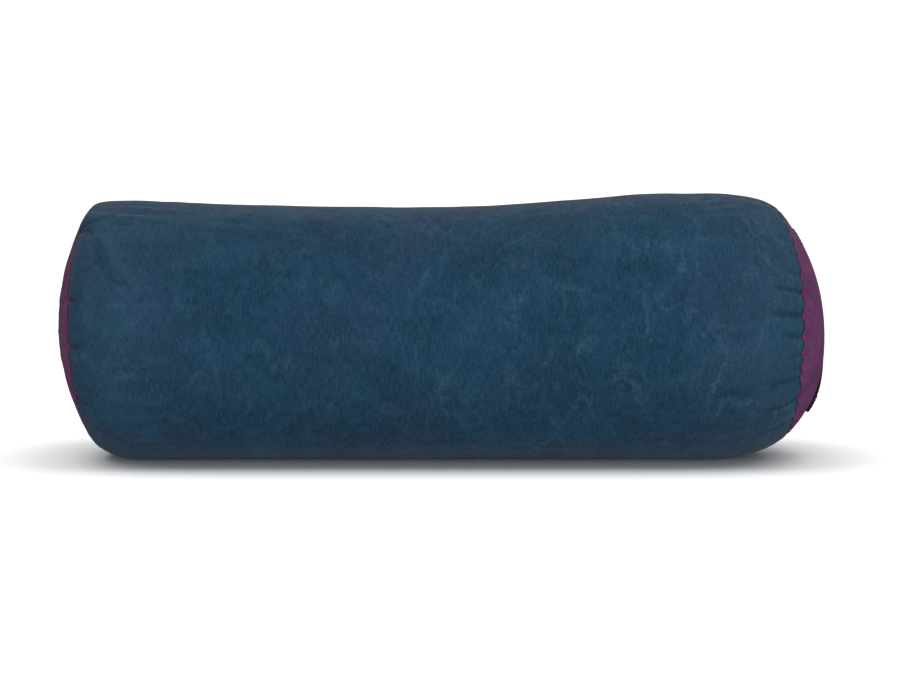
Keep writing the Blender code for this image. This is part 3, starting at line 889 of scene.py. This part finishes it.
def slab(name, slot, node, sheet, half, u, v):
    """A strip of cloth with thickness: the sheet moved both ways by half, and closed at its edges."""
    rows, columns = sheet.shape[:2]
    half = np.broadcast_to(np.asarray(half, float), sheet.shape)
    points = np.concatenate([(sheet + half).reshape(-1, 3), (sheet - half).reshape(-1, 3)])
    size = rows * columns
    faces = []
    for quad in ring_faces(rows, columns, closed=False):
        faces += [quad, tuple(size + i for i in quad[::-1])]
    rim = list(range(columns))
    rim += [i * columns + columns - 1 for i in range(1, rows)]
    rim += [(rows - 1) * columns + j for j in range(columns - 2, -1, -1)]
    rim += [i * columns for i in range(rows - 2, 0, -1)]
    for a, b in zip(rim, rim[1:] + rim[:1]):
        faces.append((b, a, size + a, size + b))
    uv = [(u[(i % size) // columns], v[(i % size) % columns]) for face in faces for i in face]
    piece(name, slot, node, points, faces, uv)


def strap_base(z):
    """Where the right end panel's middle line is, along X, at each height."""
    shares = np.linspace(1, 0, 60)
    top = dome_surface(RIGHT, shares, np.array([TAU / 4]))[:, 0]
    bottom = dome_surface(RIGHT, shares, np.array([3 * TAU / 4]))[::-1, 0]
    line = np.concatenate([top, bottom])
    return np.interp(z, line[::-1, 2], line[::-1, 0])


def strap():
    """The webbing strap with its ends turned under, and the boxed crosses that hold it."""
    low, high = STRAP_LOW.z, STRAP_HIGH.z
    z = np.linspace(low, high, 60)
    outer = np.stack([strap_base(z) + strap_rise(z) + STRAP_THICKNESS / 2, z], axis=1)
    turned = []
    for inner_z, end_z in ((low + STRAP_TURN, low), (high - STRAP_TURN, high)):
        under_z = np.linspace(inner_z, end_z, 10)
        x = np.interp(under_z, z, outer[:, 0]) - STRAP_LAYERS
        turned.append(np.stack([x, under_z], axis=1))
    bend = np.linspace(-math.pi / 2, math.pi / 2, 7)[1:-1]
    half_gap = STRAP_LAYERS / 2
    sine, cosine = half_gap * np.sin(bend), half_gap * np.cos(bend)
    curl_low = np.stack([outer[0, 0] - half_gap + sine, low - cosine], axis=1)
    curl_high = np.stack([outer[-1, 0] - half_gap - sine, high + cosine], axis=1)
    path = np.concatenate([turned[0], curl_low, outer[1:-1], curl_high, turned[1][::-1]])
    step = np.gradient(path, axis=0)
    normal = unit(np.stack([step[:, 1], -step[:, 0]], axis=1))
    across = np.linspace(STRAP_LOW.y, STRAP_HIGH.y, 13)
    edge = 1 - 0.55 * smooth_step((abs(across) / STRAP_HIGH.y - 0.86) / 0.14)
    sheet = np.stack(np.broadcast_arrays(path[:, None, 0], across[None, :], path[:, None, 1]), axis=-1)
    half = np.zeros_like(sheet)
    half[..., ::2] = normal[:, None] * edge[None, :, None] * STRAP_THICKNESS / 2
    along = np.concatenate([[0], np.cumsum(np.linalg.norm(np.diff(path, axis=0), axis=1))])
    slab("strap_webbing", "strap_webbing", "handle_strap", sheet, half, along, across)

    for name, start, end in (("lower", low, low + STRAP_TURN), ("upper", high - STRAP_TURN, high)):
        a, b = start + BOX_INSET, end - BOX_INSET
        c = STRAP_HIGH.y - BOX_INSET
        corners = ((a, -c), (b, -c), (b, c), (a, c))
        crosses = ((corners[0], corners[2]), (corners[1], corners[3]))
        rows = []
        for (z0, y0), (z1, y1) in (*zip(corners, corners[1:] + corners[:1]), *crosses):
            t = np.linspace(0, 1, 12)
            zs = z0 + (z1 - z0) * t
            xs = np.interp(zs, z, outer[:, 0]) + STRAP_THICKNESS / 2 + 0.05 * MM
            rows.append((np.stack([xs, y0 + (y1 - y0) * t, zs], axis=1), (1, 0, 0)))
        sewn(f"strap_stitches_{name}", "thread_dark", f"handle_stitching_{name}", BOX_STITCH, *rows)


def label():
    x = np.linspace(LABEL_LOW.x, LABEL_HIGH.x, 16)
    z = np.linspace(LABEL_LOW.z, LABEL_HIGH.z, 18)
    y = RADIUS * np.cos(np.arcsin((z - AXIS) / RADIUS)) - LABEL_DEPTH
    y = y[None, :] + 0.15 * MM * np.sin(x / (5 * MM))[:, None]
    names = "label_ribbon", "label_satin", "care_label"
    slab(*names, sheet_points(x, y, z), (0, LABEL_HALF, 0), x, z)


# ---------------------------------------------------------------- materials


class Nodes:
    """A node tree being built. Each call adds a node and gives its output."""

    def __init__(self, tree):
        self.tree = tree

    def plug(self, socket, value):
        if isinstance(value, bpy.types.NodeSocket):
            self.tree.links.new(value, socket)
        else:
            socket.default_value = value

    def node(self, kind, inputs=None, output=0, **settings):
        made = self.tree.nodes.new(kind)
        for key, value in settings.items():
            setattr(made, key, value)
        for key, value in (inputs or {}).items():
            self.plug(made.inputs[key], value)
        return made.outputs[output]

    def math(self, operation, *values):
        return self.node("ShaderNodeMath", dict(enumerate(values)), operation=operation)

    def span(self, value, low, high, to_low=0.0, to_high=1.0):
        """value from low to high, turned into to_low to to_high with soft ends."""
        inputs = {"Value": value, "From Min": low, "From Max": high, "To Min": to_low, "To Max": to_high}
        return self.node("ShaderNodeMapRange", inputs, interpolation_type="SMOOTHSTEP")


class Look(Nodes):
    """A material being built."""

    def __init__(self, name):
        self.material = bpy.data.materials.new(name)
        self.material.use_nodes = True
        super().__init__(self.material.node_tree)
        self.shader = self.tree.nodes["Principled BSDF"]

    def finish(self, colour, roughness, *layers, **sockets):
        """Sets the shader, with one bump from (height, depth in metres) layers. Gives the material."""
        sockets |= {"Base_Color": colour, "Roughness": roughness}
        total = 0.0
        for height, depth in layers:
            total = self.math("MULTIPLY_ADD", height, depth, total)
        if layers:
            sockets["Normal"] = self.node("ShaderNodeBump", {"Height": total, "Distance": 1.0})
        for key, value in sockets.items():
            self.plug(self.shader.inputs[key.replace("_", " ")], value)
        return self.material

    def here(self):
        return self.node("ShaderNodeTexCoord", output=3)

    def mix(self, share, a, b, blend="MIX"):
        made = self.tree.nodes.new("ShaderNodeMix")
        made.data_type = "RGBA"
        made.blend_type = blend
        self.plug(made.inputs["Factor"], share)
        for key, value in ((6, a), (7, b)):
            self.plug(made.inputs[key], value if isinstance(value, bpy.types.NodeSocket) else (*value, 1))
        return made.outputs[2]

    def place(self, scale=(1, 1, 1), shift=(0, 0, 0), turn=0.0, vector=None):
        vector = vector or self.node("ShaderNodeUVMap", uv_map="cloth")
        inputs = {"Vector": vector, "Location": shift, "Rotation": (0, 0, turn), "Scale": scale}
        return self.node("ShaderNodeMapping", inputs)

    def noise(self, vector, scale, detail=2.0, roughness=0.5, flat=True):
        inputs = {"Vector": vector, "Scale": scale, "Detail": detail, "Roughness": roughness}
        return self.node("ShaderNodeTexNoise", inputs, noise_dimensions="2D" if flat else "3D")

    def bands(self, vector, direction, pitch, distortion=0.0):
        inputs = {"Vector": vector, "Scale": TAU / (20 * pitch), "Distortion": distortion}
        return self.node("ShaderNodeTexWave", inputs, output=1, wave_type="BANDS", bands_direction=direction)

    def cracks(self, vector, cell, line, warp):
        """Thin lines between uneven cells, from 1 on a line to 0."""
        inputs = {"Vector": vector, "Scale": 0.9 / cell, "Detail": 2.0}
        bend = self.node("ShaderNodeTexNoise", inputs, output=1, noise_dimensions="2D")
        bend = self.node("ShaderNodeVectorMath", {0: bend, 1: (0.5, 0.5, 0.5)}, operation="SUBTRACT")
        bend = self.node("ShaderNodeVectorMath", {0: bend, "Scale": warp}, operation="SCALE")
        bent = self.node("ShaderNodeVectorMath", {0: vector, 1: bend}, operation="ADD")
        inputs = {"Vector": bent, "Scale": 1 / cell, "Randomness": 1.0}
        away = self.node("ShaderNodeTexVoronoi", inputs, feature="DISTANCE_TO_EDGE", voronoi_dimensions="2D")
        return self.span(away, 0.0, line / cell, 1.0, 0.0)


def canvas(name, deep, mid, pale, cast, wear_colour, creasing, sheen):
    """Washed cotton canvas: plain weave, uneven dye, pale creases, paler worn ridges, painted shade in the
    valleys, and painted light that makes the body paler towards its ends.
    """
    look = Look(name)
    dark = tuple(0.5 * c for c in deep)
    uv = look.place()
    cloud = look.noise(uv, 17, 5, 0.68)
    grain = look.noise(uv, 120, 4, 0.7)
    tone = look.math("MULTIPLY_ADD", grain, 0.35, look.math("MULTIPLY", cloud, 0.65))
    colour = look.mix(look.span(tone, 0.38, 0.62), deep, mid)
    colour = look.mix(look.span(look.noise(uv, 10, 3, 0.6), 0.50, 0.70, 0.0, 0.50), colour, cast)

    lines = look.cracks(look.place(scale=(1.0, 0.50, 1.0)), 27 * MM, 3.0 * MM, 26 * MM)
    crossways = look.place(scale=(0.8, 1.0, 1.0), shift=(0.4, 0.2, 0), turn=0.6)
    fine = look.cracks(crossways, 13 * MM, 1.8 * MM, 16 * MM)
    patch = look.span(look.noise(look.place(shift=(0.7, 0.1, 0)), 22, 3, 0.6), 0.42, 0.66)
    smudge = look.noise(look.place(scale=(1.0, 0.7, 1.0), shift=(0.2, 0.9, 0)), 48, 4, 0.7)
    broken = look.span(look.noise(uv, 240, 3, 0.7), 0.36, 0.60, 0.2, 1.0)
    creases = look.math("MULTIPLY", lines, patch)
    fine = look.math("MULTIPLY", fine, look.span(smudge, 0.50, 0.66))
    creases = look.math("MULTIPLY_ADD", fine, 0.7, creases)
    creases = look.math("MULTIPLY", creases, broken)
    along = look.node("ShaderNodeSeparateXYZ", {0: uv})
    creases = look.math("MULTIPLY", creases, look.span(along, -0.15, 0.22, 0.45, 1.0))
    # Painted light: the body is drawn paler towards both ends, where brighter light falls on them.
    ends = look.span(look.math("ABSOLUTE", along), 0.17, 0.29, 0.0, 0.20)
    colour = look.mix(ends, colour, pale)
    colour = look.mix(look.span(smudge, 0.50, 0.78, 0.0, 0.28), colour, pale)
    colour = look.mix(look.math("MULTIPLY", creases, creasing), colour, pale)

    slub = look.noise(look.place(scale=(0.25, 1.0, 1.0)), 1100, 2, 0.6)
    slub_across = look.noise(look.place(scale=(1.0, 0.12, 1.0)), 1000, 3, 0.6)
    threads = look.math("MULTIPLY_ADD", slub_across, 0.6, look.math("MULTIPLY", slub, 0.4))
    colour = look.mix(look.span(threads, 0.44, 0.66, 0.0, 0.34), colour, pale)
    colour = look.mix(look.span(threads, 0.34, 0.50, 0.36, 0.0), colour, dark)
    warp = look.bands(uv, "X", 0.62 * MM)
    weft = look.bands(uv, "Y", 0.62 * MM)
    weave = look.math("ABSOLUTE", look.math("SUBTRACT", warp, weft))

    # The relief attribute: worn ridges go paler, and valleys go darker, which is painted shade.
    wear = look.node("ShaderNodeAttribute", attribute_name="wear", output=2)
    colour = look.mix(look.span(wear, 3, 16, 0.0, 0.30), colour, wear_colour)
    # Painted shade: valleys are darkened towards half the deep colour.
    colour = look.mix(look.span(wear, -14, -3, 0.50, 0.0), colour, dark)
    rumple = look.noise(look.place(shift=(0.3, 0.3, 0)), 44, 4, 0.62)
    layers = (rumple, 1.5 * MM), (threads, 0.2 * MM), (weave, 0.08 * MM)
    gloss = {"Specular_IOR_Level": 0.10, "Sheen_Weight": sheen, "Sheen_Roughness": 0.30}
    return look.finish(colour, 0.88, *layers, **gloss)


def woven(name, dark, light, pitch, roughness, ribs=0.0):
    """Narrow woven goods: webbing, tape and plain cotton."""
    look = Look(name)
    uv = look.place()
    warp = look.bands(uv, "X", pitch)
    weft = look.bands(uv, "Y", pitch * 1.25)
    weave = look.math("ABSOLUTE", look.math("SUBTRACT", warp, weft))
    blotch = look.noise(uv, 90, 4, 0.65)
    colour = look.mix(look.span(blotch, 0.35, 0.65), dark, light)
    colour = look.mix(look.span(weave, 0.2, 0.9, 0.0, 0.35), colour, light)
    layers = [(look.noise(uv, 260, 3, 0.7), 0.08 * MM), (weave, pitch * 0.22)]
    if ribs:
        layers.append((look.bands(uv, "Y", ribs), ribs * 0.12))
    gloss = {"Specular_IOR_Level": 0.3, "Sheen_Weight": 0.1, "Sheen_Roughness": 0.5}
    return look.finish(colour, roughness, *layers, **gloss)


def spun(name, dark, light, roughness):
    """Twisted sewing thread."""
    look = Look(name)
    here = look.here()
    fleck = look.noise(here, 900, 3, 0.6, flat=False)
    ply = look.bands(look.place(turn=0.7, vector=here), "DIAGONAL", 0.5 * MM, 0.4)
    colour = look.mix(look.span(fleck, 0.35, 0.65), dark, light)
    return look.finish(colour, roughness, (ply, 0.10 * MM), Sheen_Weight=0.15)


def nylon(name, dark, light):
    look = Look(name)
    here = look.here()
    haze = look.noise(here, 400, 3, 0.6, flat=False)
    grain = look.noise(here, 1500, 2, 0.5, flat=False)
    rough = look.span(haze, 0.3, 0.7, 0.30, 0.42)
    return look.finish(look.mix(haze, dark, light), rough, (grain, 0.02 * MM), Coat_Weight=0.1)


def nickel(name):
    """Dark plated metal with fine scratches, paler where hands rub it."""
    look = Look(name)
    here = look.here()
    smudge = look.noise(here, 180, 4, 0.65, flat=False)
    scratch = look.noise(look.place(scale=(1.0, 9.0, 9.0), vector=here), 500, 2, 0.5, flat=False)
    colour = look.mix(look.span(smudge, 0.35, 0.7), (0.10, 0.095, 0.10), (0.23, 0.22, 0.225))
    rough = look.span(scratch, 0.3, 0.7, 0.24, 0.42)
    return look.finish(colour, rough, (scratch, 0.02 * MM), Metallic=1.0)


def satin(name):
    look = Look(name)
    uv = look.place()
    threads = look.bands(uv, "X", 0.25 * MM)
    blotch = look.noise(uv, 120, 3, 0.6)
    colour = look.mix(blotch, (0.70, 0.69, 0.66), (0.84, 0.83, 0.80))
    return look.finish(colour, 0.34, (threads, 0.03 * MM), Anisotropic=0.5, Sheen_Weight=0.1)


def fibre(name):
    """Matted polyester fibre."""
    look = Look(name)
    here = look.here()
    strands = look.noise(look.place(scale=(1.0, 0.3, 0.3), vector=here), 700, 4, 0.7, flat=False)
    clumps = look.noise(here, 60, 4, 0.6, flat=False)
    colour = look.mix(look.span(clumps, 0.35, 0.65), (0.72, 0.71, 0.68), (0.86, 0.86, 0.84))
    return look.finish(colour, 0.95, (clumps, 1.0 * MM), (strands, 0.25 * MM), Sheen_Weight=0.3)


def make_materials():
    """One material for each slot, and the metal of the CAD parts that stay."""
    return {
        "cover_blue": canvas(
            "washed_blue_canvas",
            deep=(0.0080, 0.0375, 0.0740),
            mid=(0.0120, 0.0530, 0.1020),
            pale=(0.048, 0.102, 0.160),
            cast=(0.0190, 0.0390, 0.0880),
            wear_colour=(0.034, 0.085, 0.140),
            creasing=0.64,
            sheen=0.075,
        ),
        "cover_purple": canvas(
            "washed_purple_canvas",
            deep=(0.107, 0.025, 0.092),
            mid=(0.155, 0.040, 0.132),
            pale=(0.190, 0.085, 0.170),
            cast=(0.092, 0.024, 0.096),
            wear_colour=(0.165, 0.060, 0.145),
            creasing=0.30,
            sheen=0.02,
        ),
        "strap_webbing": woven(
            "cotton_webbing", (0.018, 0.009, 0.017), (0.042, 0.021, 0.038), 1.1 * MM, 0.82, ribs=3.0 * MM
        ),
        "thread_dark": spun("dark_thread", (0.012, 0.011, 0.024), (0.030, 0.024, 0.046), 0.7),
        "zip_tape": woven("zip_tape_weave", (0.008, 0.014, 0.026), (0.020, 0.032, 0.055), 0.6 * MM, 0.8),
        "zip_coil": nylon("coil_nylon", (0.010, 0.016, 0.028), (0.022, 0.033, 0.052)),
        "metal": nickel("dark_nickel"),
        "label_satin": satin("label_satin_weave"),
        "liner_cotton": woven("unbleached_cotton", (0.60, 0.56, 0.47), (0.74, 0.71, 0.62), 0.7 * MM, 0.9),
        "liner_thread": spun("pale_thread", (0.55, 0.52, 0.45), (0.75, 0.72, 0.64), 0.8),
        "filling_fibre": fibre("fibre_wadding"),
    }


def dress_frame():
    """Puts the metal on the CAD parts that stay."""
    for node in ("zip_slider", "zip_pull", "zip_top_stop_upper", "zip_top_stop_lower", "zip_bottom_stop"):
        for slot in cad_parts[node].material_slots:
            slot.material = MATERIALS["metal"]


# ---------------------------------------------------------------- stage, light and camera


def floor_material():
    look = Look("white_floor")
    here = look.here()
    colour = look.mix(look.noise(here, 3, 2, 0.5), (0.93, 0.93, 0.93), (0.95, 0.95, 0.95))
    return look.finish(colour, 0.9, Specular_IOR_Level=0.0)


def add_lamp(name, kind, power, place, turn, floor, reach, **settings):
    """A lamp. Its reach: INCLUDE is the floor alone, with every shadow on it, and EXCLUDE all the rest."""
    light = bpy.data.lights.new(name, kind)
    light.energy = power
    for key, value in settings.items():
        setattr(light, key, value)
    ob = bpy.data.objects.new(name, light)
    ob.location = place
    ob.rotation_euler = turn
    bpy.context.scene.collection.objects.link(ob)
    lit = bpy.data.collections.new(f"{ob.name}_receivers")
    lit.objects.link(floor)
    lit.collection_objects[0].light_linking.link_state = reach
    ob.light_linking.receiver_collection = lit


SKY_LIGHT = 0.38
LOW_LIGHT = 0.23
BACKDROP_LIGHT = 1.1
LAMP_AIM = (0, 0, 0.1)
LAMPS = (  # name, place, width, height, watts
    ("front_light", (0.0, -2.6, 0.45), 1.8, 0.9, 31),
    ("side_light", (1.9, -1.7, 0.50), 0.9, 0.9, 12),
    ("top_light", (0.0, 0.8, 1.9), 1.4, 1.0, 14),
)
FLOOR_REACH = 30
FLOOR_LIGHT = 1.05
FLOOR_LIGHT_ANGLE = math.radians(46)
FLOOR_LIGHT_TILT = math.radians(-2)
FLOOR_LIGHT_TURNS = (math.radians(-29), 0, math.radians(29))
CAMERA_DISTANCE = 1.99
CAMERA_TILT = math.radians(5)
CAMERA_AIM = (0.0077, 0, 0.101)
CAMERA_LENS = 93


def studio_world():
    """White down at the backdrop, softer light above, and less from below."""
    world = bpy.data.worlds.new("studio")
    world.use_nodes = True
    nodes = Nodes(world.node_tree)
    here = nodes.node("ShaderNodeTexCoord")
    height = nodes.node("ShaderNodeSeparateXYZ", {0: here}, output=2)
    above = nodes.span(height, 0.10, 0.35, BACKDROP_LIGHT, SKY_LIGHT)
    below = nodes.span(height, -0.12, -0.045, LOW_LIGHT, BACKDROP_LIGHT)
    background = world.node_tree.nodes["Background"]
    background.inputs["Color"].default_value = (1, 1, 1, 1)
    nodes.plug(background.inputs["Strength"], nodes.math("MINIMUM", above, below))
    return world


def stage_and_camera():
    scene = bpy.context.scene
    scene.view_settings.view_transform = "Standard"
    corners = [(x * FLOOR_REACH, y * FLOOR_REACH, 0) for x, y in ((-1, -1), (1, -1), (1, 1), (-1, 1))]
    floor = add_mesh("floor", corners, [(0, 1, 2, 3)], floor_material())
    floor.visible_diffuse = False
    floor.visible_glossy = False
    scene.world = studio_world()
    for name, place, width, height, power in LAMPS:
        turn = (Vector(LAMP_AIM) - Vector(place)).to_track_quat("-Z", "Y").to_euler()
        sizes = {"shape": "RECTANGLE", "size": width, "size_y": height}
        add_lamp(name, "AREA", power, place, turn, floor, "EXCLUDE", **sizes)
    for roll in FLOOR_LIGHT_TURNS:
        place, turn = (0, 0, 0), (FLOOR_LIGHT_TILT, roll, 0)
        add_lamp("floor_light", "SUN", FLOOR_LIGHT, place, turn, floor, "INCLUDE", angle=FLOOR_LIGHT_ANGLE)

    camera = bpy.data.cameras.new("camera")
    camera.sensor_width = 36
    camera.lens = CAMERA_LENS
    ob = bpy.data.objects.new("camera", camera)
    back = Vector((0, -math.cos(CAMERA_TILT), math.sin(CAMERA_TILT)))
    ob.location = Vector(CAMERA_AIM) + back * CAMERA_DISTANCE
    ob.rotation_euler = (math.pi / 2 - CAMERA_TILT, 0, 0)
    scene.collection.objects.link(ob)
    scene.camera = ob


MATERIALS = make_materials()
seam_stitches(cover())
inner_case()
filling()
zip_pieces()
strap()
label()
dress_frame()
stage_and_camera()
